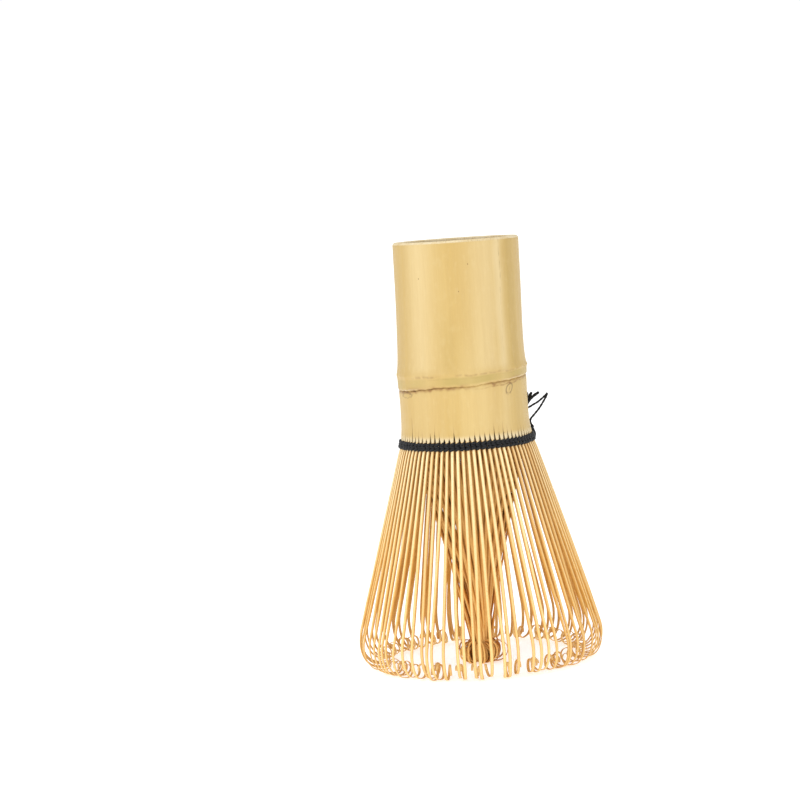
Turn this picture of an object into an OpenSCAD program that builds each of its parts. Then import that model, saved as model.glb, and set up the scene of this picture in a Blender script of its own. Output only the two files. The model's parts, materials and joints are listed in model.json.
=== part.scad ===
// Bamboo tea whisk: one culm of bamboo, split below its joint into two rings of tines.
// It stands on its tine tips with the handle up. The origin is on the floor, on the culm's axis.
// All sizes are in millimetres.

/* [Whisk] */
// Height of the whole whisk, standing on its tips
whisk_h = 106; // [100:1:114]
// Height of the crisp line where the culm's joint begins
joint_z = 70.2; // [68:0.1:73]
// Height of the lower edge of the solid culm, where the splits begin
split_z = 57.2; // [56.8:0.1:58]

/* [Culm] */
// Outer radius of the handle's straight upper part
handle_r = 15.5; // [14.5:0.1:16]
// Outer radius of the culm below the joint
collar_r = 16.25; // [16.1:0.05:16.4]
// Outer radius of the joint's raised ring
joint_r = 16.4; // [16.3:0.05:16.8]
// Radius of the hollow inside the handle
hollow_r = 12.9; // [11:0.1:12.9]
// Radius of the wider hollow inside the joint and below it
joint_hollow_r = 13.3; // [13.3:0.05:13.6]
// Height of the joint's raised ring
joint_h = 2.5; // [1.5:0.1:3.5]
// Thickness of the wall that closes the culm inside the joint
septum_t = 1.6; // [0.8:0.1:2.2]
// Length of the handle that is a true cylinder
grip_len = 18; // [10:1:26]
// Height of the bevel around the outside of the handle's cut end
rim_bevel = 0.8; // [0.2:0.1:1.2]

/* [Tines] */
// Angle that the outer tines flare out by, from upright
flare_a = 16.4; // [14:0.1:17]
// Width of an outer tine
outer_w = 0.8; // [0.5:0.05:0.9]
// Thickness of an outer tine where it leaves the thread
outer_t = 0.5; // [0.35:0.05:0.55]
// Thickness of an outer tine at its curled tip
outer_tip_t = 0.16; // [0.1:0.02:0.24]
// Width of an inner tine
inner_w = 0.32; // [0.2:0.02:0.34]
// Thickness of an inner tine
inner_t = 0.26; // [0.15:0.01:0.3]
// Radius of the curl at an outer tine's tip
curl_r = 1.65; // [1.4:0.05:1.8]

/* [Thread] */
// Radius of one round of the thread outside the tines
round_r = 0.29; // [0.2:0.01:0.3]
// Radius of the thread's loose loop
loop_r = 0.2; // [0.15:0.01:0.24]
// Radius of the thread's short cut ends
end_r = 0.28; // [0.15:0.01:0.3]

/* [Hidden] */
// Craft splits of the culm, each cut into the same number of outer and inner tines
split_count = 16;
tines_per_split = 5;
tine_a = 360 / split_count / tines_per_split;
split_a = 360 / split_count;
first_a = -(tines_per_split - 1) / 2 * tine_a;

// The tines are cut through a hair below their fixed roots, where they flex
flex_z = 54.15;
flex_gap = 0.05;
root_w = 0.95;
root_t = 0.55;
inner_root_t = 0.32;

// Outer face of the outer roots and of the inner roots, from the culm down
outer_root_face = [[16.25, split_z], [16.3, 56.3], [16.6, 55.3], [17.05, flex_z + flex_gap]];
inner_root_face = [[15.15, split_z], [15.12, 55.8], [14.82, flex_z + flex_gap]];

// Bends at the foot of an outer tine: radius, then the heading it ends at, 0 being straight down
foot_bends = [[9, -15], [6, -45], [2, -72], [10, -88], [curl_r, -250], [curl_r - 0.35, -400]];
facet_a = 16;

// An inner tine leans in to the axis and ends in a small hook, in one of five rings of tips
inner_top = [14.66, flex_z - flex_gap];
inner_bend = [4.6, 26];
inner_steps = 9;
first_ring_r = 1.9;
ring_pitch = 0.9;
first_ring_z = 1.1;
ring_rise = 0.5;
ring_order = [0, 2, 4, 1, 3];
hook_r = 0.36;
hook_a = 300;
inner_tip_t = 0.16;

// Notches at the top of each split: wider and taller where the culm was first split
notch_w = 0.34;
notch_h = 1.7;
notch_more = 0.9;
craft_notch_h = 3.2;
notch_floor_r = 15.62;

// Rounds of the thread: height, and radius of the middle of the thread
outer_rounds = [[55.3, 16.94], [55.9, 16.77], [56.5, 16.63]];
inner_rounds = [[55.65, 15.5], [56.25, 15.5]];
inner_round_r = 0.24;

// The knot on the rounds, the knot up behind it, and the routes of the loose ends
knot_r = 0.72;
knot_places = [[16.75, 3.35, 57.5], [15.45, 7.2, 62.4]];
loop_route = [
    [15.85, 4.6, 58.9], [16.5, 4.55, 59.55], [17.15, 4.5, 60.2], [17.9, 4.45, 61], [18.7, 4.4, 61.9],
    [19.2, 4.4, 62.55], [19.65, 4.4, 63.2], [20.15, 4.4, 63.95], [20.6, 4.4, 64.65], [20.9, 4.45, 65.2],
    [21, 4.65, 65.5], [21, 4.9, 65.6], [20.9, 5.1, 65.45], [20.55, 5.2, 65.1], [19.9, 5.2, 64.55],
    [19.05, 5.2, 63.9], [18.3, 5.3, 63.4], [17.5, 5.5, 63], [16.6, 6, 62.45], [15.95, 6.3, 62]];
end_routes = [
    [[15.95, 6.35, 63.25], [16.6, 6.3, 64.15], [17.55, 6.2, 65], [18.3, 6.1, 65.5], [19.05, 6, 65.95]],
    [[15.75, 6.95, 63.6], [16.15, 6.92, 64.2], [16.55, 6.85, 64.8], [17.25, 6.7, 66]],
    [[15.4, 7.5, 63.5], [15.8, 7.55, 64.4], [16, 7.5, 65.2], [16, 7.4, 66.1]]];
strand_sides = 8;
fn_round = 96;
fn_small = 24;

function two_digits(n) = str(n < 10 ? "0" : "", n);
outer_names = [for (i = [1:split_count]) str("outer_tines_", two_digits(i))];
inner_names = [for (i = [1:split_count]) str("inner_tines_", two_digits(i))];
culm_names = ["handle_tube", "joint_ring", "joint_septum", "culm_collar"];
root_names = ["outer_tine_roots", "inner_tine_roots"];
thread_names = ["thread_outer_rounds", "thread_inner_rounds", "thread_knots", "thread_ends"];

// ---- Culm ----

module handle_tube() {
    inner_bevel = 0.3;
    z0 = joint_z + joint_h;
    z1 = whisk_h - grip_len;
    color("#d9bf7c")
    rotate_extrude($fn = fn_round)
    polygon([
        [hollow_r, z0], [joint_r - 0.15, z0], [handle_r, z1], [handle_r, whisk_h - rim_bevel],
        [handle_r - 0.6 * rim_bevel, whisk_h], [hollow_r + inner_bevel, whisk_h],
        [hollow_r, whisk_h - inner_bevel]]);
}

module joint_ring() {
    crevice = 0.25;
    color("#cdb572")
    rotate_extrude($fn = fn_round)
    polygon([
        [joint_hollow_r, joint_z], [joint_r - 2 * crevice, joint_z], [joint_r - 0.1, joint_z + crevice],
        [joint_r - 0.15, joint_z + joint_h / 2], [joint_r, joint_z + joint_h - 2 * crevice],
        [joint_r - 0.15, joint_z + joint_h], [joint_hollow_r, joint_z + joint_h]]);
}

module joint_septum() {
    dish = 0.5;
    color("#e6d4a0")
    translate([0, 0, joint_z + 0.2])
    rotate_extrude($fn = fn_round)
    polygon([
        [0, 0], [joint_hollow_r, 0], [joint_hollow_r, septum_t + dish], [joint_hollow_r * 0.75, septum_t],
        [0, septum_t]]);
}

// A notch that points up, cut from outside to the layer that the inner tines come from
module split_notch(h) {
    translate([notch_floor_r, 0, split_z])
    rotate([90, 0, 90])
    linear_extrude(2)
    polygon([[-notch_w / 2, -0.1], [notch_w / 2, -0.1], [0, h]]);
}

module culm_collar() {
    inner_lip_r = 14.75;
    scoop_z = split_z + 5;
    color("#dcc27d")
    difference() {
        rotate_extrude($fn = fn_round)
        polygon([
            [inner_lip_r, split_z], [collar_r, split_z], [collar_r - 0.05, joint_z - 0.2],
            [collar_r - 0.3, joint_z], [joint_hollow_r, joint_z], [joint_hollow_r, scoop_z]]);
        for (i = [0:split_count * tines_per_split - 1]) {
            crafted = i % tines_per_split == tines_per_split - 1;
            h = crafted ? craft_notch_h : notch_h + notch_more * abs(sin(77 * i));
            rotate([0, 0, first_a + (i + 0.5) * tine_a])
            split_notch(h);
        }
    }
}

// ---- Tine roots ----

// A tine or root is a flat strip: its side outline, given its width and turned to its place
module strip(outline, w, a) {
    rotate([90, 0, a])
    linear_extrude(w, center = true)
    polygon(outline);
}

function moved_in(face, t) = [for (i = [len(face) - 1:-1:0]) face[i] - [t, 0]];

module outer_tine_roots() {
    color("#e0c17c")
    for (i = [0:split_count * tines_per_split - 1])
        strip(concat(outer_root_face, moved_in(outer_root_face, root_t)), root_w, first_a + i * tine_a);
}

module inner_tine_roots() {
    color("#c99f58")
    for (i = [0:split_count * tines_per_split - 1])
        strip(
            concat(inner_root_face, moved_in(inner_root_face, inner_root_t)),
            inner_w, first_a + (i + 0.5) * tine_a);
}

// ---- Tines ----
// A tine's line is a list of [radius, height, heading], with the heading 0 straight down and
// positive outwards. A bend turns the heading; a bend of positive radius turns it inwards.

function bend_by(r, a0, a1) = r * [cos(a1) - cos(a0), sin(a1) - sin(a0)];

function bend_points(p, r, a0, a1) =
    let (n = ceil(abs(a1 - a0) / facet_a))
    [for (i = [1:n]) let (a = a0 + (a1 - a0) * i / n) concat(p + bend_by(r, a0, a), [a])];

function bends(p, a0, list, i = 0) =
    i == len(list) ? [] :
    let (r = list[i][0], a1 = list[i][1])
    concat(bend_points(p, r, a0, a1), bends(p + bend_by(r, a0, a1), a1, list, i + 1));

// How far a strip has thinned by point i of its line: fast at first, then evenly to its tip
function thinned(line, i, t0, t1) =
    let (share = (line[0][1] - line[i][1]) / line[0][1], turned = i / (len(line) - 1))
    t0 + (t1 - t0) * (0.45 * share + 0.55 * turned);

function face_points(line, side, t0, t1) = [
    for (i = [0:len(line) - 1])
        let (a = line[i][2], half = thinned(line, i, t0, t1) / 2)
        [line[i][0], line[i][1]] + side * half * [cos(a), sin(a)]];

function reversed(list) = [for (i = [len(list) - 1:-1:0]) list[i]];

function strip_outline(line, t0, t1) =
    concat(face_points(line, 1, t0, t1), reversed(face_points(line, -1, t0, t1)));

// The foot's bends end this far below where they start, which sets where the straight part ends
foot_drop = -min([for (p = bends([0, 0], flare_a, foot_bends)) p[1]]);
foot_z = foot_drop + outer_tip_t;
outer_top = [outer_root_face[3][0] - outer_t / 2, flex_z - flex_gap];
foot_top = [outer_top[0] + (outer_top[1] - foot_z) * tan(flare_a), foot_z];
outer_line = concat(
    [concat(outer_top, [flare_a]), concat(foot_top, [flare_a])],
    bends(foot_top, flare_a, foot_bends));

module outer_tines(split) {
    color("#e2b969")
    for (j = [0:tines_per_split - 1])
        strip(
            strip_outline(outer_line, outer_t, outer_tip_t), outer_w,
            split * split_a + first_a + j * tine_a);
}

// An inner tine follows a quadratic curve from its root, past a middle point, to its ring of tips
function curve_point(p0, p1, p2, t) = (1 - t) * (1 - t) * p0 + 2 * t * (1 - t) * p1 + t * t * p2;

function curve_heading(p0, p1, p2, t) =
    let (d = (1 - t) * (p1 - p0) + t * (p2 - p1))
    atan2(d[0], -d[1]);

function inner_line(ring) =
    let (tip = [first_ring_r + ring * ring_pitch, first_ring_z + ring * ring_rise])
    let (curved = [
        for (i = [0:inner_steps])
            let (t = i / inner_steps)
            concat(
                curve_point(inner_top, inner_bend, tip, t),
                [curve_heading(inner_top, inner_bend, tip, t)])])
    let (a = curved[inner_steps][2])
    concat(curved, bends(tip, a, [[hook_r, a - hook_a]]));

module inner_tines(split) {
    color("#c9954a")
    for (j = [0:tines_per_split - 1])
        strip(
            strip_outline(inner_line(ring_order[j]), inner_t, inner_tip_t), inner_w,
            split * split_a + first_a + (j + 0.5) * tine_a);
}

// ---- Thread ----

module thread_round(z, r, thread_r) {
    translate([0, 0, z])
    rotate_extrude($fn = fn_round)
    translate([r, 0])
    circle(thread_r, $fn = fn_small);
}

module thread_outer_rounds() {
    color("#1b1c20")
    for (round = outer_rounds)
        thread_round(round[0], round[1], round_r);
}

module thread_inner_rounds() {
    color("#1b1c20")
    for (round = inner_rounds)
        thread_round(round[0], round[1], inner_round_r);
}

module thread_knots() {
    color("#1b1c20")
    for (p = knot_places)
        translate(p)
        sphere(knot_r, $fn = fn_small);
}

function unit(v) = v / norm(v);
function tangent(route, i) = unit(route[min(i + 1, len(route) - 1)] - route[max(i - 1, 0)]);

function ring_points(c, along, r) =
    let (u = unit(cross(along, [1, 0, -1])), v = cross(along, u))
    [for (k = [0:strand_sides - 1])
        let (a = k * 360 / strand_sides)
        c + r * (cos(a) * u + sin(a) * v)];

// One strand of thread: a tube of flat sides swept along its route
module strand(route, r) {
    last = (len(route) - 1) * strand_sides;
    points = [
        for (i = [0:len(route) - 1])
            for (p = ring_points(route[i], tangent(route, i), r))
                p];
    walls = [
        for (i = [0:len(route) - 2])
            for (k = [0:strand_sides - 1])
                let (a = i * strand_sides + k, b = i * strand_sides + (k + 1) % strand_sides)
                [a, a + strand_sides, b + strand_sides, b]];
    start_cap = [for (k = [0:strand_sides - 1]) k];
    end_cap = [for (k = [strand_sides - 1:-1:0]) last + k];
    polyhedron(points, concat([start_cap], walls, [end_cap]));
}

module thread_ends() {
    color("#1b1c20") {
        strand(loop_route, loop_r);
        for (route = end_routes)
            strand(route, end_r);
    }
}

handle_tube();
joint_ring();
joint_septum();
culm_collar();
outer_tine_roots();
inner_tine_roots();
thread_outer_rounds();
thread_inner_rounds();
thread_knots();
thread_ends();
for (i = [0:split_count - 1])
    outer_tines(i);
for (i = [0:split_count - 1])
    inner_tines(i);
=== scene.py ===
"""The looks of a bamboo tea whisk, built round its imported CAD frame.

Lengths are in millimetres until a mesh is made, and angles are in radians unless a name ends in
_deg. A tine's heading is 0 straight down and positive outwards. Azimuth 0 is +X, and the whisk's
front faces -Y, at azimuth -90 degrees.
"""
import json
import math

import bpy
import numpy as np
from mathutils import Matrix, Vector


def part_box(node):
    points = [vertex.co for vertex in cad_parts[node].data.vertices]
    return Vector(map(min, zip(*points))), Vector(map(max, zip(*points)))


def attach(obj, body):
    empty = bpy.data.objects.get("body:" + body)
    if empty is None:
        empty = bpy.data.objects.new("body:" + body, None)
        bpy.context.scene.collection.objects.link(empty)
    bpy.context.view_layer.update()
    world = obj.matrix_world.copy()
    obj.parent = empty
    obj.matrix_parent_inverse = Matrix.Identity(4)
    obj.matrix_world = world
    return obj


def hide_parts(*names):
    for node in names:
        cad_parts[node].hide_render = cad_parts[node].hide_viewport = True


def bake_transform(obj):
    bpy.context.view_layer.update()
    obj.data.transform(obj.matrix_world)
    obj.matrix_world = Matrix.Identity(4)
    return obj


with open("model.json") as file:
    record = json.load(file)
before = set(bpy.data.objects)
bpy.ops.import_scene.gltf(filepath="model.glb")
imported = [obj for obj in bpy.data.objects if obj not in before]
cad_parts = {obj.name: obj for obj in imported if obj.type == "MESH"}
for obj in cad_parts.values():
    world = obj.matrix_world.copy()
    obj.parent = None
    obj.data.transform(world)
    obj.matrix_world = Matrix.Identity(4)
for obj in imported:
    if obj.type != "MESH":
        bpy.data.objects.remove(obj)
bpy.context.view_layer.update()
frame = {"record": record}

MM = 0.001
TURN = 2 * math.pi
SPLITS = 16
TINES_PER_SPLIT = 5
TINES = SPLITS * TINES_PER_SPLIT
PITCH = TURN / TINES


def node_box(name):
    low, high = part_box(name)
    return np.array(low) / MM, np.array(high) / MM


TOP_Z = node_box("handle_tube")[1][2]
RIDGE_Z = node_box("handle_tube")[0][2]
LINE_Z = node_box("joint_ring")[0][2]
SPLIT_Z = node_box("culm_collar")[0][2]
MOUNTS = {mount["name"]: mount for mount in frame["record"]["mounts"]}
HOLLOW_R = MOUNTS["handle_hollow"]["dims"]["r_mm"]
COLLAR_HOLLOW_R = 13.3  # the bamboo's own hollow, below the joint


# ---- Numbers and noise ----

def smooth_steps(x, low, high):
    t = np.clip((np.asarray(x, float) - low) / (high - low), 0, 1)
    return t * t * (3 - 2 * t)


def bell(x, middle, width):
    return np.exp(-(((x - middle) / width) ** 2))


def curve_through(x, table):
    """A smooth curve through the (x, y) rows of a table, which never overshoots them."""
    xs, ys = np.array(table, float).T
    slopes = np.diff(ys) / np.diff(xs)
    tangents = np.zeros(len(xs))
    product = slopes[1:] * slopes[:-1]
    total = slopes[1:] + slopes[:-1]
    turning = product > 0
    tangents[1:-1][turning] = 2 * product[turning] / total[turning]
    tangents[0], tangents[-1] = slopes[0], slopes[-1]
    i = np.clip(np.searchsorted(xs, x) - 1, 0, len(xs) - 2)
    width = xs[i + 1] - xs[i]
    t = np.clip((x - xs[i]) / width, 0, 1)
    return (
        (2 * t**3 - 3 * t**2 + 1) * ys[i]
        + (t**3 - 2 * t**2 + t) * width * tangents[i]
        + (3 * t**2 - 2 * t**3) * ys[i + 1]
        + (t**3 - t**2) * width * tangents[i + 1]
    )


def waves(angle, counts, seed):
    """Noise round the whisk, between about -1 and 1: waves of these counts, from random starts."""
    rng = np.random.default_rng(seed)
    starts = rng.uniform(0, TURN, len(counts))
    total = sum(np.cos(n * angle + start) for n, start in zip(counts, starts))
    return total / math.sqrt(len(counts))


def degrees_from(angle, middle_deg):
    """How far an azimuth is from one in degrees, between -180 and 180."""
    return (np.degrees(angle) - middle_deg + 180) % 360 - 180


# ---- Meshes ----

class Solids:
    """Closed surfaces gathered into one mesh: each is a grid of points, closed one way or both."""

    def __init__(self):
        self.points, self.loops, self.sizes, self.materials = [], [], [], []
        self.values = {}
        self.count = 0

    def add(self, grid, closed_i=False, closed_j=True, material=0, **values):
        """grid is (n, m, 3). material is one index, or one for each step along j."""
        n, m, _ = grid.shape
        index = np.arange(n * m).reshape(n, m)
        rows = index if not closed_i else np.vstack([index, index[:1]])
        rows = rows if not closed_j else np.hstack([rows, rows[:, :1]])
        quads = np.stack([rows[:-1, :-1], rows[1:, :-1], rows[1:, 1:], rows[:-1, 1:]], axis=-1)
        steps = np.broadcast_to(np.asarray(material), (quads.shape[1],))
        quad_materials = np.broadcast_to(steps, quads.shape[:2]).reshape(-1)
        quads = quads.reshape(-1, 4)
        lids = []
        if closed_j and not closed_i:
            lids = [index[0], index[-1, ::-1]]
        if closed_i and not closed_j:
            lids = [index[::-1, 0], index[:, -1]]
        flat = grid.reshape(-1, 3)
        a, b, c, d = (flat[quads[:, k]] for k in range(4))
        volume = np.einsum("ij,ij->i", a, np.cross(b, c) + np.cross(c, d)).sum()
        for lid in lids:
            p = flat[lid]
            volume += (np.cross(p[1:-1], p[2:]) @ p[0]).sum()
        looks_inwards = volume < 0
        if looks_inwards:
            quads = quads[:, ::-1]
            lids = [lid[::-1] for lid in lids]
        self.points.append(flat)
        self.loops.append((quads + self.count).reshape(-1))
        self.sizes.append(np.full(len(quads), 4))
        self.materials.append(quad_materials)
        for lid in lids:
            self.loops.append(np.asarray(lid) + self.count)
            self.sizes.append(np.array([len(lid)]))
            self.materials.append(steps[:1])
        for name, value in values.items():
            full = np.broadcast_to(np.asarray(value, float), (n, m)).reshape(-1)
            self.values.setdefault(name, []).append(full)
        self.count += n * m

    def piece(self, name, materials, sharp_deg=50):
        points = np.concatenate(self.points)
        points[:, 0] += lean(points[:, 2])
        loops = np.concatenate(self.loops)
        sizes = np.concatenate(self.sizes)
        mesh = bpy.data.meshes.new(name)
        mesh.vertices.add(len(points))
        mesh.vertices.foreach_set("co", (points * MM).astype(np.float32).reshape(-1))
        mesh.loops.add(len(loops))
        mesh.loops.foreach_set("vertex_index", loops.astype(np.int32))
        mesh.polygons.add(len(sizes))
        mesh.polygons.foreach_set("loop_start", (np.cumsum(sizes) - sizes).astype(np.int32))
        mesh.polygons.foreach_set("material_index", np.concatenate(self.materials).astype(np.int32))
        mesh.update(calc_edges=True)
        mesh.shade_smooth()
        mesh.set_sharp_from_angle(angle=math.radians(sharp_deg))
        for label, parts in self.values.items():
            attribute = mesh.attributes.new(label, "FLOAT", "POINT")
            attribute.data.foreach_set("value", np.concatenate(parts).astype(np.float32))
        for material in materials:
            mesh.materials.append(material)
        if mesh.validate():
            raise ValueError(f"{name} had faces that are not valid")
        made = bpy.data.objects.new(name, mesh)
        bpy.context.scene.collection.objects.link(made)
        return made


def lean(z):
    """How far the culm's middle wanders to the side, as a grown bamboo's does at its joint."""
    return curve_through(z, [
        (0, 0), (20, 0), (40, -0.08), (55, -0.22), (61, -0.34), (70, -0.33), (80, -0.26), (92, 0),
        (106, 0.18)])


def around(angle, r, z):
    """Points from azimuth, radius and height, which may be arrays of any shapes that go together."""
    angle, r, z = np.broadcast_arrays(angle, r, z)
    return np.stack([r * np.cos(angle), r * np.sin(angle), z], axis=-1)


def unit(v):
    return v / np.linalg.norm(v, axis=-1, keepdims=True)


def swept(path, across, out, section):
    """A section of (across, out) points carried along a path: the section is (m, 2) or (n, m, 2)."""
    section = np.broadcast_to(section, (len(path),) + section.shape[-2:])
    return (
        path[:, None]
        + section[..., 0:1] * across[:, None]
        + section[..., 1:2] * out[:, None]
    )


def carried_frames(path):
    """Two directions across a path that turn with it and never twist."""
    along = unit(np.gradient(path, axis=0))
    any_direction = np.array([0.3, 0.9, 0.2])
    u = unit(any_direction - along[0] * (any_direction @ along[0]))
    us = [u]
    for direction in along[1:]:
        u = unit(u - direction * (u @ direction))
        us.append(u)
    us = np.array(us)
    return us, np.cross(along, us)


# ---- Materials ----

class Shader:
    """A material, with short ways to add the nodes that the whisk's materials share."""

    def __init__(self, name, **fixed):
        self.material = bpy.data.materials.new(name)
        self.material.use_nodes = True
        self.tree = self.material.node_tree
        self.surface = self.tree.nodes["Principled BSDF"]
        for socket, value in fixed.items():
            self.surface.inputs[socket.replace("_", " ")].default_value = value
        self.where = self.tree.nodes.new("ShaderNodeTexCoord").outputs["Object"]

    def set(self, socket, source):
        self.tree.links.new(source, self.surface.inputs[socket])

    def node(self, kind, inputs, **settings):
        made = self.tree.nodes.new(kind)
        for key, value in settings.items():
            setattr(made, key, value)
        for key, value in inputs.items():
            if isinstance(value, bpy.types.NodeSocket):
                self.tree.links.new(value, made.inputs[key])
            else:
                made.inputs[key].default_value = value
        return made

    def value(self, name):
        return self.node("ShaderNodeAttribute", {}, attribute_name=name).outputs["Fac"]

    def math(self, operation, *inputs, clamp=False):
        numbered = dict(enumerate(inputs))
        return self.node("ShaderNodeMath", numbered, operation=operation, use_clamp=clamp).outputs[0]

    def noise(self, across_mm, along_mm, detail=2.0, roughness=0.5, distortion=0.0):
        """Noise with features this wide around the culm and this long down it."""
        scale = (1 / (across_mm * MM), 1 / (across_mm * MM), 1 / (along_mm * MM))
        spread = self.node("ShaderNodeMapping", {"Vector": self.where, "Scale": scale}).outputs[0]
        made = self.node("ShaderNodeTexNoise", {
            "Vector": spread, "Scale": 1.0, "Detail": detail, "Roughness": roughness,
            "Distortion": distortion})
        return made.outputs["Fac"]

    def cells(self, size_mm, stretch=1.0):
        """Cells of this size, stretched this many times down the culm."""
        scale = (1 / (size_mm * MM), 1 / (size_mm * MM), 1 / (size_mm * stretch * MM))
        spread = self.node("ShaderNodeMapping", {"Vector": self.where, "Scale": scale}).outputs[0]
        return self.node("ShaderNodeTexVoronoi", {"Vector": spread, "Scale": 1.0})

    def between(self, value, low, high):
        """0 below low and 1 above high, or the other way round when low is above high."""
        made = self.node("ShaderNodeMapRange", {
            "Value": value, "From Min": low, "From Max": high}, interpolation_type="SMOOTHSTEP")
        return made.outputs["Result"]

    def mix(self, share, a, b, blend="MIX"):
        made = self.node("ShaderNodeMix", {}, data_type="RGBA", blend_type=blend)
        for socket, value in ((0, share), (6, a), (7, b)):
            if isinstance(value, bpy.types.NodeSocket):
                self.tree.links.new(value, made.inputs[socket])
            elif socket == 0:
                made.inputs[socket].default_value = value
            else:
                made.inputs[socket].default_value = (*value, 1)
        return made.outputs[2]

    def bump(self, height, depth_mm, strength=1.0, under=None):
        inputs = {"Height": height, "Distance": depth_mm * MM, "Strength": strength}
        if under is not None:
            inputs["Normal"] = under
        return self.node("ShaderNodeBump", inputs).outputs[0]


def srgb(r, g, b, share=1.0):
    """A colour as it looks on a screen, 0 to 255, as the linear colour that a shader takes."""
    def linear(c):
        c /= 255
        return share * (c / 12.92 if c <= 0.04045 else ((c + 0.055) / 1.055) ** 2.4)
    return linear(r), linear(g), linear(b)


def lit(r, g, b):
    """A colour as it looks in the studio's light, which is brighter than the surface's own."""
    return srgb(r, g, b, share=0.745)


def skin_material():
    """The culm's waxy outer skin. The mesh says where it is warm, cool, light, olive, pale or dark: mostly
    its own colour and marks, with painted shade among the cool and dark and painted highlights among the
    light and pale.
    """
    s = Shader(
        "bamboo_skin", Roughness=0.45, Specular_IOR_Level=0.28, Coat_Weight=0.06, Coat_Roughness=0.3)
    broad = s.between(s.noise(5.0, 90.0, detail=2.0), 0.36, 0.64)
    base = s.mix(broad, lit(222, 188, 115), lit(233, 203, 134))
    base = s.mix(s.value("warm"), base, lit(220, 185, 112))
    # cool holds painted shade towards the culm's edges as well as its dark streaks, and light holds
    # painted highlights as well as its pale streak.
    base = s.mix(s.value("cool"), base, lit(210, 178, 106))
    base = s.mix(s.value("light"), base, lit(240, 215, 160))
    streaks = s.between(s.noise(0.9, 30.0, detail=3.0, roughness=0.6), 0.3, 0.7)
    base = s.mix(streaks, s.mix(0.07, base, lit(176, 138, 74)), base)
    fibres = s.between(s.noise(0.16, 7.0, detail=2.0, roughness=0.6), 0.3, 0.7)
    base = s.mix(fibres, s.mix(0.07, base, lit(168, 128, 66)), base)
    mottled = s.between(s.noise(1.3, 2.2, detail=3.0), 0.5, 0.75)
    base = s.mix(s.math("MULTIPLY", mottled, 0.1), base, lit(244, 222, 170))
    base = s.mix(s.value("olive"), base, lit(196, 172, 100))
    cells = s.cells(3.1, stretch=1.7)
    of_cell = s.node("ShaderNodeSeparateColor", {"Color": cells.outputs["Color"]}).outputs[0]
    chosen = s.between(of_cell, 0.78, 0.8)
    dot = s.math("MULTIPLY", s.between(cells.outputs["Distance"], 0.05, 0.025), chosen)
    base = s.mix(s.math("MULTIPLY", dot, 0.75), base, lit(128, 92, 48))
    # pale, brown and dark are the joint's marks, scars and crack; on the collar pale also holds painted
    # highlights on the fingers' shoulders, and brown and dark hold painted shade in the gaps between them.
    base = s.mix(s.value("pale"), base, lit(250, 232, 190))
    base = s.mix(s.value("brown"), base, lit(168, 124, 74))
    base = s.mix(s.value("dark"), base, lit(96, 66, 38))
    s.set("Base Color", base)
    grooves = s.bump(s.noise(0.16, 7.0, detail=2.0, roughness=0.6), 0.02, 0.5)
    s.set("Normal", s.bump(s.noise(0.9, 30.0, detail=2.0), 0.06, 0.5, under=grooves))
    return s.material


def cut_material():
    """Raw cut bamboo: pale, matt, with the brown ends of its fibre bundles."""
    s = Shader("bamboo_cut", Roughness=0.72, Specular_IOR_Level=0.2)
    broad = s.between(s.noise(3.0, 8.0, detail=3.0), 0.35, 0.65)
    base = s.mix(broad, lit(238, 216, 168), lit(250, 234, 196))
    fibres = s.between(s.noise(0.2, 4.0, detail=2.0, roughness=0.6), 0.35, 0.65)
    base = s.mix(fibres, s.mix(0.16, base, lit(160, 120, 66)), base)
    cells = s.cells(0.62, stretch=14.0)
    spot = s.between(cells.outputs["Distance"], 0.34, 0.2)
    base = s.mix(s.math("MULTIPLY", spot, 0.2), base, lit(168, 122, 66))
    # dark is painted shade down the culm's hollow; on the septum it is darker at the middle and the edge.
    base = s.mix(s.value("dark"), base, lit(116, 84, 44))
    s.set("Base Color", base)
    s.set("Normal", s.bump(s.noise(0.2, 4.0, detail=2.0), 0.05, 0.6))
    return s.material


def tine_material(name, skin_top, skin_low, side_top, side_low, deep):
    """A split tine: its outer face is skin, its sides are raw and darker, and it deepens downwards. Its
    dark attribute is painted shade on its sides.
    """
    s = Shader(name, Roughness=0.6, Specular_IOR_Level=0.08)
    lower = s.value("along")
    skin = s.mix(lower, skin_top, skin_low)
    side = s.mix(lower, side_top, side_low)
    whole = s.between(s.noise(0.22, 2.6, detail=2.0), 0.1, 0.42)
    base = s.mix(s.math("MULTIPLY", s.value("skin"), whole, clamp=True), side, skin)
    streaks = s.between(s.noise(0.12, 5.0, detail=3.0, roughness=0.6), 0.3, 0.68)
    base = s.mix(streaks, s.mix(0.22, base, srgb(150, 96, 40)), base)
    patches = s.between(s.noise(1.4, 6.0, detail=2.0), 0.4, 0.7)
    base = s.mix(s.math("MULTIPLY", patches, 0.2), base, srgb(246, 210, 146))
    # tone is each tine's own depth of colour; on the outer tines right of the front it also holds painted
    # shade.
    base = s.mix(s.value("tone"), base, deep)
    # Painted shade on the tines' sides, near the binding and, for the inner tines, at the foot.
    base = s.mix(s.value("dark"), base, srgb(112, 58, 12))
    s.set("Base Color", base)
    s.set("Normal", s.bump(s.noise(0.12, 5.0, detail=2.0), 0.03, 0.5))
    return s.material


def thread_material():
    """Waxed black cotton, plied from fine strands, with a cool sheen where it catches the light."""
    s = Shader(
        "black_thread", Roughness=0.55, Specular_IOR_Level=0.3, Sheen_Weight=0.03, Sheen_Roughness=0.4,
        Sheen_Tint=(0.55, 0.65, 0.85, 1))
    worn = s.between(s.noise(0.35, 0.35, detail=3.0), 0.45, 0.8)
    s.set("Base Color", s.mix(worn, (0.003, 0.003, 0.004), (0.011, 0.012, 0.016)))
    s.set("Normal", s.bump(s.noise(0.07, 0.07, detail=3.0, roughness=0.7), 0.04, 0.7))
    return s.material


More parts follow.
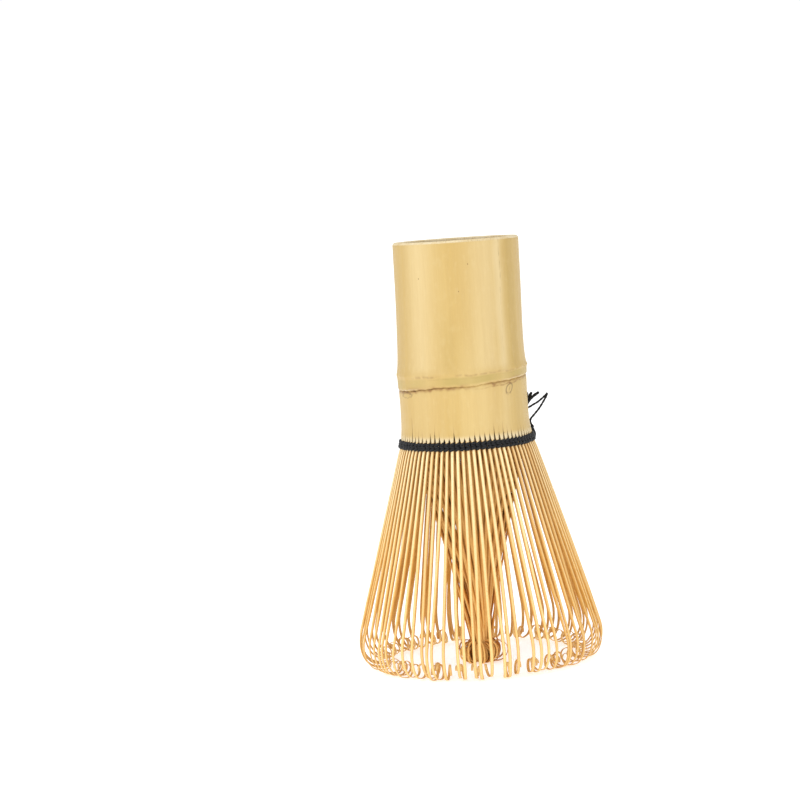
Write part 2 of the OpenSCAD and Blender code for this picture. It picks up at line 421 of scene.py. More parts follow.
SKIN = skin_material()
CUT = cut_material()
OUTER = tine_material(
    "outer_tine", skin_top=srgb(254, 231, 180), skin_low=srgb(246, 214, 150),
    side_top=srgb(206, 158, 80), side_low=srgb(212, 154, 70), deep=srgb(202, 150, 78))
# The inner tines' darker top colours are painted shade, near the binding inside the ring of outer tines.
INNER = tine_material(
    "inner_tine", skin_top=srgb(224, 174, 98), skin_low=srgb(242, 196, 118),
    side_top=srgb(168, 108, 40), side_low=srgb(218, 138, 50), deep=srgb(168, 108, 44))
THREAD = thread_material()


# ---- Culm ----

# The culm's height and radius, from under the thread to the cut end.
CULM_PROFILE = [
    (55, 16.62), (56.2, 16.5), (57.2, 16.36), (58.6, 16.14), (61, 15.96), (66, 15.9), (69.3, 15.97),
    (70.0, 15.93), (70.2, 15.74), (70.42, 15.98), (70.9, 16.13), (72.2, 16.17), (72.85, 16.22),
    (73.4, 16.36), (73.75, 16.3), (74.4, 16.14), (75.2, 16.02), (76.4, 15.91), (78, 15.81), (81, 15.72),
    (86, 15.66), (92, 15.64), (106, 15.66)]
CULM_END_Z = 55.7
CULM_COLUMNS = 960
RIDGE_CREST_Z = 73.5

# Gap k is the split between tine k and the next. Those between first splits reach higher, and the long
# ones are cracks that ran on up the collar: each is a gap and its height above the split line.
GAP_RNG = np.random.default_rng(57)
GAP_TOPS = SPLIT_Z + 0.55 + 1.3 * GAP_RNG.random(TINES) ** 1.3
GAP_TOPS[TINES_PER_SPLIT - 1::TINES_PER_SPLIT] += 0.4 + 0.7 * GAP_RNG.random(SPLITS)
LONG_GAPS = {49: 5.4, 28: 3.9, 9: 4.4, 55: 2.6, 67: 3.0}
for gap, height in LONG_GAPS.items():
    GAP_TOPS[gap] = SPLIT_Z + height


def tine_azimuth(k):
    """The azimuth of outer tine k. Tine 0 is the first of split 1, which is centred on azimuth 0."""
    return (k - (TINES_PER_SPLIT - 1) / 2) * PITCH


def line_height(angle):
    """How far the joint's crisp line strays from level: it climbs towards +X, by uneven steps."""
    stray = 0.12 + 1.05 * np.cos(angle) + 0.3 * bell(degrees_from(angle, -118), 0, 18)
    stray = stray - 0.22 * bell(degrees_from(angle, -84), 0, 9)
    return stray + 0.08 * waves(angle, (2, 3), 5) + 0.05 * waves(angle, (9, 14, 23, 31, 44), 6)


def strayed(angle, z):
    """Heights near the joint move with its line, and the rest stay."""
    return z + line_height(angle) * bell(z, LINE_Z, 3.2)


def culm_radius(angle, z):
    r = curve_through(z, CULM_PROFILE)
    r = r + 0.05 * waves(angle, (2, 3, 5), 11)
    r = r + 0.014 * waves(angle, (17, 26, 41, 58), 12) * smooth_steps(z, 58, 61)
    ridge_strength = 0.08 * waves(angle, (2, 5, 9, 15), 13)
    return r + ridge_strength * bell(z, RIDGE_CREST_Z, 0.5)


def stripes(degrees, *rows):
    """Soft stripes down the culm: each row is a strength, a middle and a width in degrees."""
    return sum(strength * bell(degrees, middle, width) for strength, middle, width in rows)


def skin_colours(angle, z):
    """Where the skin is warm, cool, light and olive: the skin's own streaks, with painted shade among the
    cool stripes and painted highlights among the light ones. Degrees are from the whisk's front.
    """
    degrees = degrees_from(angle, -90)
    wandering = degrees + 0.8 * np.sin(z / 7.0) + 0.5 * np.sin(z / 2.3 + 1)
    warm = stripes(degrees, (0.7, 2, 17)) * smooth_steps(z, 74, 88)
    warm = warm + stripes(degrees, (0.6, -70, 14), (0.5, 120, 30), (0.4, -150, 20))
    cool = stripes(wandering, (0.9, 55, 6.5)) + stripes(degrees, (0.45, -12, 9)) * smooth_steps(z, 92, 80)
    # The stripes at -72 and 84 degrees are painted shade, darkening the handle towards its left and right
    # edges.
    cool = cool + stripes(degrees, (0.3, -110, 16), (0.4, 160, 14), (0.5, 84, 20), (0.35, -72, 36))
    # The stripe at 39.5 degrees is the skin's own pale streak. Below it, the stripes at -38 and 90 degrees
    # are painted highlights: a soft band on the lit left and a thin line along the right edge.
    light = stripes(wandering, (0.85, 39.5, 5.0))
    light = light + stripes(
        degrees, (0.4, 29, 7), (0.7, -38, 16), (0.45, 19, 10), (0.5, 90, 9), (0.5, -175, 12))

    on_handle = smooth_steps(z, RIDGE_Z, RIDGE_Z + 3)
    fades = 0.5 + 0.5 * waves(angle, (3, 5, 8), 21)
    warm = warm * (0.4 + 0.6 * on_handle) + 0.35 * (1 - on_handle) * fades
    cool = cool * (0.35 + 0.65 * on_handle) + 0.34 * smooth_steps(z, LINE_Z, RIDGE_Z + 3)
    # Painted shade towards the right edge, below the handle.
    cool = cool + stripes(degrees, (0.5, 78, 22)) * (1 - on_handle)
    light = light * (0.4 + 0.6 * on_handle)

    in_joint = smooth_steps(z, 70.4, 71.2) * smooth_steps(z, 73.0, 72.4)
    olive = (0.5 + 0.25 * waves(angle, (2, 5, 11), 22)) * in_joint
    olive = olive + 0.12 * smooth_steps(z, 68, 69.8) * smooth_steps(z, 70.4, 70.1)
    return warm, cool, light, olive


def joint_marks(angle, z):
    """Where the joint is pale, brown and dark: its crisp line, and the fainter one on its ridge."""
    degrees = degrees_from(angle, -90)
    strength = 0.34 + 0.45 * waves(angle, (2, 3, 7), 23) + 0.3 * waves(angle, (19, 37, 61), 24)
    strength = strength + stripes(degrees, (0.55, -48, 20), (-0.5, 14, 9), (-0.15, 0, 30))
    strength = np.clip(strength, 0.05, 1)
    broken = np.clip(0.5 + 0.8 * waves(angle, (43, 71, 97), 33), 0, 1)
    uneven = 0.16 * waves(angle, (17, 29, 43, 67), 35)
    missing = 1 - stripes(degrees, (0.9, 14, 6))
    haze = np.clip(waves(angle, (3, 8, 13), 25), 0, 1)
    brown = (0.4 + 0.55 * strength) * missing * bell(z, LINE_Z - 0.16 + uneven, 0.38)
    lower = LINE_Z - 0.85 + 0.45 * smooth_steps(degrees, 20, 80) + 0.12 * waves(angle, (23, 31), 34)
    brown = brown + (0.4 + 0.5 * broken) * stripes(degrees, (1, 42, 22)) * bell(z, lower, 0.13)
    brown = brown + 0.35 * haze * bell(z, LINE_Z + 0.55, 0.35)
    dark = missing * (0.3 + stripes(degrees, (0.6, -52, 26))) * strength**2
    dark = dark * bell(z, LINE_Z - 0.02 + 0.4 * uneven, 0.13)
    pale = 0.6 * np.clip(waves(angle, (2, 4, 6), 29), 0, 1) * bell(z, LINE_Z + 0.36, 0.14)

    ridge_line = np.clip(0.35 + waves(angle, (2, 6, 9), 26) + stripes(degrees, (0.6, 40, 34)), 0, 1)
    ridge_line = ridge_line * np.clip(0.7 + 0.5 * waves(angle, (29, 47, 83), 27), 0, 1)
    ridge_z = RIDGE_Z + 0.4 + 0.12 * waves(angle, (11, 19, 31), 28)
    brown = brown + 0.24 * ridge_line * bell(z, ridge_z, 0.25)
    brown = brown + 0.2 * ridge_line[::-1] * bell(z, RIDGE_Z - 0.35, 0.11)
    dark = dark + 0.16 * ridge_line * bell(z, ridge_z, 0.3)
    return pale, brown, dark


def scars(angle, z):
    """The marks just under the joint's line: a small oval bud scar, and two wide shallow ones."""
    r = 16.0
    bud_z = 68.42
    slant = np.radians(degrees_from(angle, -45.6)) * r - 0.42 * (z - bud_z)
    rim = bell(np.hypot(slant, z - bud_z) / 1.02, 1.0, 0.16)
    middle = bell(np.hypot((slant - 0.05) / 0.16, (z - bud_z) / 0.5), 0, 1)
    dark = 0.66 * rim + 0.4 * middle

    across = np.radians(degrees_from(angle, -151.6)) * r
    oval = np.hypot(across / 2.3, (z - 69.2 + 0.12 * np.sin(across * 4)) / 0.7)
    speck = np.hypot((across - 1.5) / 0.25, (z - 69.5) / 0.2)
    dark = dark + 0.42 * bell(oval, 1.0, 0.16) + 0.6 * bell(speck, 0, 1)

    across = np.radians(degrees_from(angle, 95)) * r
    oval = np.hypot(across / 1.2, (z - 69.0) / 0.8)
    return dark + 0.22 * bell(oval, 1.0, 0.15)


def cracks(angle, z):
    """A fine drying crack down the pale stripe of the handle, made of dashes."""
    wander = 0.10 * np.sin(z / 1.9) + 0.06 * np.sin(z / 0.7 + 2)
    across = np.radians(degrees_from(angle, -49.3)) * 15.6 - wander
    dashes = np.clip(np.sin(z * 2.1) + 0.7 * np.sin(z * 5.3 + 1) + 0.35, 0, 1)
    dashes = dashes * (0.25 + 0.75 * smooth_steps(z, 88, 98)) * smooth_steps(z, 76, 80)
    return 0.38 * bell(across, 0, 0.1) * dashes


def ring_piece(name, outer, inner_rows, angle, tones, skin_steps):
    """A length of the culm. outer is its outside's grid of points, from the bottom up, skin_steps of
    them skin and the rest cut. inner_rows are the inside's (z, r), from the top down."""
    inner = np.stack([around(angle, r, strayed(angle, z)) for z, r in inner_rows], axis=1)
    grid = np.concatenate([outer, inner], axis=1)
    no_tone = np.zeros((len(angle), len(inner_rows)))
    padded = {key: np.concatenate([value, no_tone], axis=1) for key, value in tones.items()}
    # All of the inside except its first four rows gets painted shade, for the dark of the culm's hollow.
    rows_before_hollow_shade = 4
    padded["dark"][:, rows_before_hollow_shade - len(inner_rows):] = 0.22
    material = np.ones(grid.shape[1], int)
    material[:skin_steps] = 0
    solids = Solids()
    solids.add(grid, closed_i=True, closed_j=True, material=material, **padded)
    piece = solids.piece(name, [SKIN, CUT], sharp_deg=38)
    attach(piece, "culm")
    return piece


def tone_values(angle, z):
    """Every tone of the skin, by name, at each azimuth and height."""
    warm, cool, light, olive = skin_colours(angle, z)
    pale, brown, dark = joint_marks(angle, z)
    dark = dark + scars(angle, z) + cracks(angle, z)
    tones = {
        "warm": warm, "cool": cool, "light": light, "olive": olive,
        "pale": pale, "brown": brown, "dark": dark}
    shape = np.broadcast_shapes(angle.shape, z.shape)
    return {key: np.clip(np.broadcast_to(value, shape), 0, 1) for key, value in tones.items()}


def spaced(*stops):
    """Heights from stop to stop: each stop is a height and the step used to reach it."""
    heights = [stops[0][0]]
    for target, step in stops[1:]:
        count = max(1, round(abs(target - heights[-1]) / step))
        heights += list(np.linspace(heights[-1], target, count + 1)[1:])
    return np.array(heights)


def culm_angles():
    return np.arange(CULM_COLUMNS) / CULM_COLUMNS * TURN


def build_handle():
    """The upper internode, from the joint's ridge to its cut and eased rim, and down its hollow."""
    angle = culm_angles()
    bevel = 0.5
    z = spaced((RIDGE_Z, 0), (74.6, 0.08), (78, 0.3), (TOP_Z - bevel, 0.7))
    columns = angle[:, None]
    r = culm_radius(columns, z[None])
    uneven = 0.07 * waves(angle, (2, 3, 5, 8), 31)
    rim = [
        around(angle, r[:, -1] - inward + uneven * (0.5 - up / bevel), TOP_Z - bevel + up)
        for up, inward in ((0.06, 0.04), (0.2, 0.13), (0.38, 0.27), (0.5, 0.38))]
    outer = np.concatenate([around(columns, r, strayed(columns, z[None])), np.stack(rim, axis=1)], axis=1)
    tones = tone_values(columns, z[None])
    # The rim's bevel rows are made a little pale, a painted highlight where the bevel catches the light.
    for key in tones:
        rim_highlight = 0.2 if key == "pale" else 0.0
        tones[key] = np.concatenate([tones[key], np.full((len(angle), len(rim)), rim_highlight)], axis=1)
    inside = [(TOP_Z, 14.4), (TOP_Z, 13.8), (TOP_Z - 0.03, 13.25), (TOP_Z - 0.12, 13.05)]
    inside += [(TOP_Z - 0.35, HOLLOW_R)]
    inside += [(height, HOLLOW_R) for height in np.linspace(TOP_Z - 1.5, RIDGE_Z, 24)]
    piece = ring_piece("handle_skin", outer, inside, angle, tones, skin_steps=len(z) - 1)
    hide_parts("handle_tube")


def build_joint():
    """The band between the joint's crisp line and its ridge."""
    angle = culm_angles()
    z = spaced((LINE_Z, 0), (LINE_Z + 0.7, 0.05), (RIDGE_Z - 0.6, 0.12), (RIDGE_Z, 0.06))
    columns = angle[:, None]
    outer = around(columns, culm_radius(columns, z[None]), strayed(columns, z[None]))
    inside = [(height, COLLAR_HOLLOW_R) for height in np.linspace(RIDGE_Z, LINE_Z, 6)]
    tones = tone_values(columns, z[None])
    piece = ring_piece("joint_band", outer, inside, angle, tones, skin_steps=len(z) - 1)
    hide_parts("joint_ring")


def build_collar():
    """The culm below its joint, down to its fingers between the split gaps, under the thread.

    Arrays here are (finger, column, height). A finger's columns run from the middle of one gap to the
    middle of the next: two in the first gap, the finger's own, and one in the next gap.
    """
    z = spaced(
        (CULM_END_Z, 0), (SPLIT_Z, 0.3), (SPLIT_Z + 3.2, 0.16), (SPLIT_Z + 6.4, 0.26), (LINE_Z - 2.6, 0.4),
        (LINE_Z - 0.6, 0.1), (LINE_Z, 0.05))
    heights = z[None, None, :]
    tops = GAP_TOPS[:, None, None]
    reach = tops - SPLIT_Z
    taper = 0.9 + 0.24 * np.maximum(reach - 1.5, 0)
    half_gap = np.maximum(0.21 * np.clip((tops - heights) / (reach + 0.1), 0, 1) ** taper, 0.012)
    next_half_gap = np.roll(half_gap, -1, axis=0)
    wall = 0.72
    finger_steps = 8
    across_finger = np.arange(1, finger_steps) / finger_steps
    share = np.concatenate([
        0 * half_gap, wall * half_gap, half_gap,
        *(half_gap + (1 - next_half_gap - half_gap) * step for step in across_finger),
        1 - next_half_gap, 1 - wall * next_half_gap], axis=1)
    columns = share.shape[1]
    in_gap = np.zeros((TINES, columns, 1))
    in_gap[:, [0, 1, -1]] = 1
    nearest_top = np.concatenate([
        np.repeat(tops, columns - 2, axis=1), np.repeat(np.roll(tops, -1, axis=0), 2, axis=1)], axis=1)
    gap_azimuth = np.array([tine_azimuth(k) + PITCH / 2 for k in range(TINES)])[:, None, None]

    crown = (2 * np.array([1, 1, 0, *across_finger, 1, 1])[None, :, None] - 1) ** 2
    depth = 1.05 * smooth_steps(nearest_top - heights, -0.02, 1.3) * in_gap
    depth = depth + 0.10 * smooth_steps(heights, SPLIT_Z + 2.4, SPLIT_Z) * crown

    fray = np.random.default_rng(58).uniform(0.2, 1.6, TINES)[:, None, None] ** 2
    thin = bell(np.minimum(share, 1 - share), 0, 0.05)
    thin = thin * smooth_steps(heights, nearest_top + fray, nearest_top - 0.1)
    # Painted shade on the floors of the gaps, and painted highlights on the fingers' rounded shoulders
    # near the split line.
    gap_floor_shade = in_gap * smooth_steps(nearest_top - heights, 0.0, 0.7)
    shoulder_highlights = (1 - in_gap) * smooth_steps(heights, SPLIT_Z + 1.5, SPLIT_Z - 0.1)

    def flat(values):
        return values.reshape(-1, len(z))

    angle = flat(gap_azimuth + share * PITCH)
    tones = tone_values(angle, z[None])
    tones["brown"] = np.clip(tones["brown"] + 0.45 * flat(thin), 0, 1)
    tones["brown"] = np.clip(tones["brown"] + 0.8 * flat(gap_floor_shade), 0, 1)
    tones["dark"] = np.clip(tones["dark"] + 0.9 * flat(gap_floor_shade), 0, 1)
    tones["pale"] = np.clip(tones["pale"] + 0.8 * flat(shoulder_highlights), 0, 1)
    outer = around(angle, culm_radius(angle, z[None]) - flat(depth), strayed(angle, z[None]))
    inside = [
        (LINE_Z, COLLAR_HOLLOW_R), (67, COLLAR_HOLLOW_R), (64.5, 13.32), (62.4, 13.42), (60.8, 13.75),
        (59.2, 14.2), (57.9, 14.6), (56.8, 14.72), (CULM_END_Z, 14.76)]
    even_angles = angle[:, -1]
    piece = ring_piece("culm_collar_split", outer, inside, even_angles, tones, skin_steps=len(z) - 1)
    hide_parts("culm_collar", "outer_tine_roots", "inner_tine_roots")


def build_septum():
    """The wall inside the joint, dished and gently rippled, as it grows in bamboo."""
    angle = np.arange(120) / 120 * TURN
    radii = np.concatenate([[0.25], np.linspace(0.8, COLLAR_HOLLOW_R, 30)])
    columns = angle[:, None]
    ripples = 0.05 * np.sin(radii * 2.6 + 1.5 * waves(columns, (2, 3), 41)) * smooth_steps(radii, 0.5, 3)
    top = 72.0 + 0.5 * smooth_steps(radii, 9, COLLAR_HOLLOW_R) + ripples - 0.25 * bell(radii, 0, 1.6)
    under = 70.45 - 0.2 * smooth_steps(radii, 8, COLLAR_HOLLOW_R) + ripples + 0.3 * bell(radii, 0, 1.5)
    points = np.concatenate([
        around(columns, radii[None], top), around(columns, radii[None, ::-1], under[:, ::-1])], axis=1)
    rings = np.broadcast_to(np.concatenate([radii, radii[::-1]]), points.shape[:2])
    # Darker at the septum's middle and where it meets the culm's wall.
    darker_middle_and_edge = 0.35 * bell(rings, 0, 1.4) + 0.25 * bell(rings, COLLAR_HOLLOW_R, 0.7)
    solids = Solids()
    solids.add(points, closed_i=True, closed_j=False, dark=darker_middle_and_edge)
    piece = solids.piece("septum_wall", [CUT])
    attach(piece, "culm")
    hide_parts("joint_septum")


# ---- Tines ----

OUTER_TOP_Z = 57.0
INNER_TOP_R, INNER_TOP_Z = 14.95, 57.4
ROSETTE_FORWARD = 2.6


def tine_section(width, thick):
    """Sections of a tine, in order round it: its skin face is slightly crowned, its corners eased."""
    width, thick = np.asarray(width)[:, None], np.asarray(thick)[:, None]
    ease = np.minimum(0.12, 0.3 * thick)
    crown = 0.2 * thick
    half_w, half_t = width / 2, thick / 2
    across = np.concatenate([
        -half_w + ease, -half_w * 0.45, half_w * 0.45, half_w - ease, half_w, half_w, half_w - ease,
        0 * half_w, -half_w + ease, -half_w, -half_w], axis=1)
    out = np.concatenate([
        half_t, half_t + crown, half_t + crown, half_t, half_t - ease, -half_t + ease, -half_t,
        -half_t, -half_t, -half_t + ease, half_t - ease], axis=1)
    return np.stack([across, out], axis=-1)


# How much each point of the section shows skin: the crowned face does, the raw sides and back do not.
SKIN_OF_SECTION = np.array([0.3, 1, 1, 0.3, 0.05, 0, 0, 0, 0, 0, 0.05])


def turned_path(start, azimuth, s, heading, yaw):
    """Integrates a tine's line from its heading and yaw at each length s, and gives its directions."""
    e_r = np.array([math.cos(azimuth), math.sin(azimuth), 0])
    e_t = np.array([-math.sin(azimuth), math.cos(azimuth), 0])
    down = np.array([0, 0, -1.0])
    forward = np.cos(yaw)[:, None] * e_r + np.sin(yaw)[:, None] * e_t
    along = np.sin(heading)[:, None] * forward + np.cos(heading)[:, None] * down
    across = -np.sin(yaw)[:, None] * e_r + np.cos(yaw)[:, None] * e_t
    out = np.cross(along, across)
    out = out * np.sign(np.einsum("j,ij->i", e_r, out[:1]))[0]
    steps = np.diff(s)[:, None] * (along[1:] + along[:-1]) / 2
    path = np.vstack([np.zeros(3), np.cumsum(steps, axis=0)])
    return path + start, across, out


def arc(radius, start_deg, end_deg):
    """A curve of this radius, as its length and the heading it ends with."""
    return radius * math.radians(abs(end_deg - start_deg)), math.radians(end_deg)


def heading_by_arcs(s, start, parts):
    """Headings at each length s, from the first heading and then parts of (length, end heading)."""
    lengths = np.cumsum([0.0] + [length for length, _ in parts])
    return np.interp(s, lengths, [start] + [heading for _, heading in parts])


def outer_tine(k, rng):
    """The line, width and thickness of one outer tine: it flares, turns in at its foot and coils."""
    azimuth = tine_azimuth(k)
    flare_deg = 16.35 + rng.normal(0, 0.22)
    swell = rng.uniform(0.92, 1.1)
    curl = rng.uniform(0.88, 1.12)
    lift = abs(rng.normal(0.25, 0.35))
    last_deg = rng.uniform(-425, -340)
    flare = math.radians(flare_deg)
    first = math.radians(2)
    top = [(0.6, first), (1.2, math.radians(17)), (1.2, math.radians(21)), (1.6, flare)]
    top_length = sum(length for length, _ in top)
    foot = [
        arc(9 * swell, flare_deg, -15), arc(6 * swell, -15, -45), arc(2.1, -45, -72),
        arc(9 * curl, -72, -88), arc(1.65 * curl, -88, -250), arc(1.32 * curl, -250, last_deg)]

    # The straight is lengthened until the foot stands on the floor, at its own small lift.
    straight = 36.0
    for _ in range(3):
        bend = top_length + straight
        parts = top + [(straight, flare)] + foot
        total = sum(length for length, _ in parts)
        s = np.concatenate([
            np.linspace(0, top_length, 12)[:-1], np.linspace(top_length, bend, 22)[:-1],
            np.linspace(bend, total, 66)])
        heading = heading_by_arcs(s, first, parts)
        path, _, _ = turned_path(np.zeros(3), azimuth, s, heading, 0 * s)
        drop = -path[:, 2].min()
        straight += (OUTER_TOP_Z - 0.1 - lift - drop) / math.cos(flare)

    sideways = math.radians(rng.normal(0, 6))
    from_front = degrees_from(azimuth, -90)
    curl_yaw = math.radians(rng.normal(0, 4.5) - 0.6 * from_front * bell(from_front, 0, 26))
    foot_share = smooth_steps(s, top_length + straight * 0.9, top_length + straight + 10)
    yaw = sideways * smooth_steps(s, 12, 36) * (1 - foot_share) + curl_yaw * foot_share
    path, across, out = turned_path(around(azimuth, 16.12, OUTER_TOP_Z), azimuth, s, heading, yaw)
    coil = smooth_steps(s, total - 9, total) * rng.choice([-1, 1]) * rng.uniform(0.5, 1.15)
    path = path + coil[:, None] * across
    share = s / total
    width = rng.uniform(0.93, 1.06) * curve_through(share, [
        (0, 0.9), (0.06, 0.95), (0.25, 0.95), (0.5, 0.89), (0.72, 0.8), (0.85, 0.74), (1, 0.6)])
    thick = curve_through(share, [
        (0, 0.42), (0.06, 0.52), (0.3, 0.56), (0.6, 0.54), (0.7, 0.38), (0.8, 0.2), (1, 0.11)])
    return path, across, out, width, thick


def add_tine(solids, path, across, out, width, thick, tone, painted_shade_top, painted_shade_foot, shaved_foot):
    """One tine. Its sides can be darkened with painted shade at the top and the foot, and its foot shaved
    on every side.
    """
    z = path[:, 2]
    shade = painted_shade_top * smooth_steps(z, 30, 56) + painted_shade_foot * smooth_steps(z, 10, 5)
    shaved = shaved_foot * smooth_steps(z, 15, 5)
    solids.add(
        swept(path, across, out, tine_section(width, thick)),
        skin=np.maximum(SKIN_OF_SECTION, shaved[:, None]), along=smooth_steps(z, 52, 14)[:, None],
        tone=tone, dark=shade[:, None] * (1 - SKIN_OF_SECTION))


def point_m(azimuth, r, z):
    """A point in metres, from its azimuth, and its radius and height in millimetres."""
    return tuple((around(azimuth, r, z) * MM).tolist())


def build_outer_tines():
    rng = np.random.default_rng(7)
    for split in range(SPLITS):
        solids = Solids()
        for k in range(split * TINES_PER_SPLIT, (split + 1) * TINES_PER_SPLIT):
            tine = outer_tine(k, rng)
            # Painted shade on the tines right of the front, the side away from the key light; the rest of
            # the tone is each tine's own.
            shade_away_from_key = 0.24 * bell(degrees_from(tine_azimuth(k), -35), 0, 28)
            tone = np.clip(rng.normal(0.13, 0.14) + shade_away_from_key, 0, 0.6)
            add_tine(solids, *tine, tone, painted_shade_top=0.58, painted_shade_foot=0.0, shaved_foot=0.42)
        number = f"{split + 1:02d}"
        piece = solids.piece(f"outer_tine_set_{number}", [OUTER], sharp_deg=60)
        azimuth = split * TURN / SPLITS
        start, end = point_m(azimuth, 16.6, 56.2), point_m(azimuth, 27.6, 18)
        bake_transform(piece)
        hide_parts(f"outer_tines_{number}")


def inner_tine(k, rng):
    """One inner tine: it leans in past a waist, crosses the axis to one side, and curls up beyond it.

    Its line is (radius, height) rows in the tine's own plane, then moved out of that plane.
    """
    azimuth = tine_azimuth(k) + PITCH / 2
    waist_r = rng.uniform(-0.8, 2.7)
    waist_z = 6.2 + rng.normal(0, 0.4)
    beside = rng.uniform(0.5, 1.5)
    root = np.array([INNER_TOP_R, INNER_TOP_Z])
    pull = np.array([6.5 + rng.normal(0, 0.35), 26.0])
    waist = np.array([waist_r, waist_z])
    t = np.linspace(0, 1, 40)[:, None]
    upper = (1 - t) ** 2 * root + 2 * t * (1 - t) * pull + t**2 * waist
    upper[:, 0] += 0.35 * bell(upper[:, 1], 55.5, 2.0)
    further_in = (k % 2) * rng.uniform(0.8, 1.3) * smooth_steps(upper[:, 1], 48, 30)
    upper[:, 0] -= further_in * smooth_steps(upper[:, 1], waist_z, 14)

    across_waist, down_waist = (waist - pull) * np.array([1, -1])
    heading_at_waist = math.atan2(across_waist, down_waist)
    radius = rng.uniform(2.1, 2.85)
    lean_in = math.radians(rng.uniform(-42, -28))
    full_turn = math.radians(rng.uniform(-400, -290))
    half_turn = math.radians(180)
    parts = [
        (abs(lean_in - heading_at_waist) * rng.uniform(6.2, 8.4), lean_in),
        (radius * (half_turn + lean_in), -half_turn),
        (radius * 0.86 * abs(full_turn + half_turn), full_turn)]
    total = sum(length for length, _ in parts)
    s = np.linspace(0, total, 46)
    heading = heading_by_arcs(s, heading_at_waist, parts)
    curled, _, _ = turned_path(np.zeros(3), azimuth, s, heading, 0 * s)
    e_r, e_t = around(azimuth, 1, 0), around(azimuth + math.pi / 2, 1, 0)
    loop = np.stack([curled @ e_r, curled[:, 2]], axis=1) + waist
    loop[:, 1] += (rng.uniform(0.08, 0.55) - loop[:, 1].min()) * smooth_steps(s, 0, 4)

    rz = np.vstack([upper[:-1], loop])
    in_loop = slice(len(rz) - len(loop), None)
    aside = beside * smooth_steps(rz[:, 1], 34, 7)
    aside[in_loop] += rng.normal(0, 0.75) * smooth_steps(s, total * 0.35, total)
    path = rz[:, :1] * e_r + aside[:, None] * e_t + rz[:, 1:] * np.array([0, 0, 1.0])
    path[:, 1] -= ROSETTE_FORWARD * smooth_steps(rz[:, 1], 44, 8)
    along = unit(np.gradient(path, axis=0))
    spin = np.zeros(len(rz))
    spin[in_loop] = rng.normal(0, 0.45) * smooth_steps(s, 0, total)
    across = unit(e_t - along * (along @ e_t)[:, None])
    out = np.cross(along, across)
    out = out * np.sign(out[0] @ e_r)
    across, out = (
        np.cos(spin)[:, None] * across + np.sin(spin)[:, None] * out,
        np.cos(spin)[:, None] * out - np.sin(spin)[:, None] * across)
    share = np.linspace(0, 1, len(rz))
    width = rng.uniform(0.9, 1.1) * curve_through(
        share, [(0, 0.98), (0.22, 0.92), (0.36, 0.72), (0.5, 0.7), (0.75, 0.58), (1, 0.44)])
    thick = curve_through(share, [(0, 0.32), (0.4, 0.34), (0.6, 0.22), (0.75, 0.14), (1, 0.1)])
    return path, across, out, width, thick


def build_inner_tines():
    rng = np.random.default_rng(96)
    for split in range(SPLITS):
        solids = Solids()
        for k in range(split * TINES_PER_SPLIT, (split + 1) * TINES_PER_SPLIT):
            tine = inner_tine(k, rng)
            tone = np.clip(rng.normal(0.1, 0.35), 0, 0.9)
            add_tine(solids, *tine, tone, painted_shade_top=0.85, painted_shade_foot=0.26, shaved_foot=0.25)
        number = f"{split + 1:02d}"
        piece = solids.piece(f"inner_tine_set_{number}", [INNER], sharp_deg=60)
        azimuth = split * TURN / SPLITS
        start, end = point_m(azimuth, 14.7, 56.0), point_m(azimuth, 5, 16)
        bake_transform(piece)
        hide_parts(f"inner_tines_{number}")


# ---- Thread ----

UP = np.array([0, 0, 1.0])
TWINE_ROWS = [(55.28, 16.66, 1), (55.86, 16.50, -1), (56.44, 16.40, 1)]
TWINE_WIDTH, TWINE_HEIGHT = 0.3, 0.375
TWINE_WEAVE = 0.66
PLY_LENGTH = 2.4


def plied_section(n, sides, width, height, turns_per_mm, spacing):
    """Sections of a thread of two twisted plies: round, with two lobes that turn along it."""
    phi = np.arange(sides) / sides * TURN
    s = (np.arange(n) * spacing)[:, None]
    r = 1 + 0.10 * np.cos(2 * (phi[None] - TURN * turns_per_mm * s))
    return np.stack([width * r * np.cos(phi), height * r * np.sin(phi)], axis=-1)


def add_strand(solids, path, radius, taper=0.0):
    """A free length of thread, which can taper towards its last end."""
    u, v = carried_frames(path)
    step = np.linalg.norm(np.diff(path, axis=0), axis=1).mean()
    section = plied_section(len(path), 10, radius, radius, 0.45, step)
    share = np.linspace(0, 1, len(path))
    section = section * (1 - taper * smooth_steps(share, 0.9, 1))[:, None, None]
    solids.add(swept(path, u, v, section))


def twine_path(angle, which, z0, face_r, slant):
    """One strand of a row, which passes outside one tine and inside the next."""
    phase = math.pi * (angle / PITCH + which)
    weave = TWINE_WEAVE * np.tanh(1.7 * np.cos(phase)) / math.tanh(1.7)
    r = face_r + 0.29 - TWINE_WEAVE + weave + 0.06 * waves(angle, (13, 29, 51), 61 + which)
    row_seed = 71 + which + int(z0 * 10)
    z = z0 + slant * 0.17 * np.sin(phase) + 0.06 * waves(angle, (5, 17, 33, 70), row_seed)
    return around(angle, r, z)


def build_twine():
    """Two strands twined round the tines in three rows, one outside each tine and one inside."""
    samples = TINES * 14
    angle = np.arange(samples) / samples * TURN
    strands = (("thread_twine_a", "thread_outer_rounds"), ("thread_twine_b", "thread_inner_rounds"))
    for which, (name, node) in enumerate(strands):
        solids = Solids()
        for z0, face_r, slant in TWINE_ROWS:
            path = twine_path(angle, which, z0, face_r, slant)
            along = unit(np.roll(path, -1, axis=0) - np.roll(path, 1, axis=0))
            out = unit(np.cross(along, UP))
            spacing = np.linalg.norm(np.diff(path, axis=0), axis=1).mean()
            length = spacing * samples
            turns_per_mm = round(length / PLY_LENGTH) / length
            section = plied_section(samples, 12, TWINE_WIDTH, TWINE_HEIGHT, turns_per_mm, spacing)
            solids.add(swept(path, out, np.cross(out, along), section), closed_i=True)
        piece = solids.piece(name, [THREAD], sharp_deg=80)
        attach(piece, "culm")
        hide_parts(node)


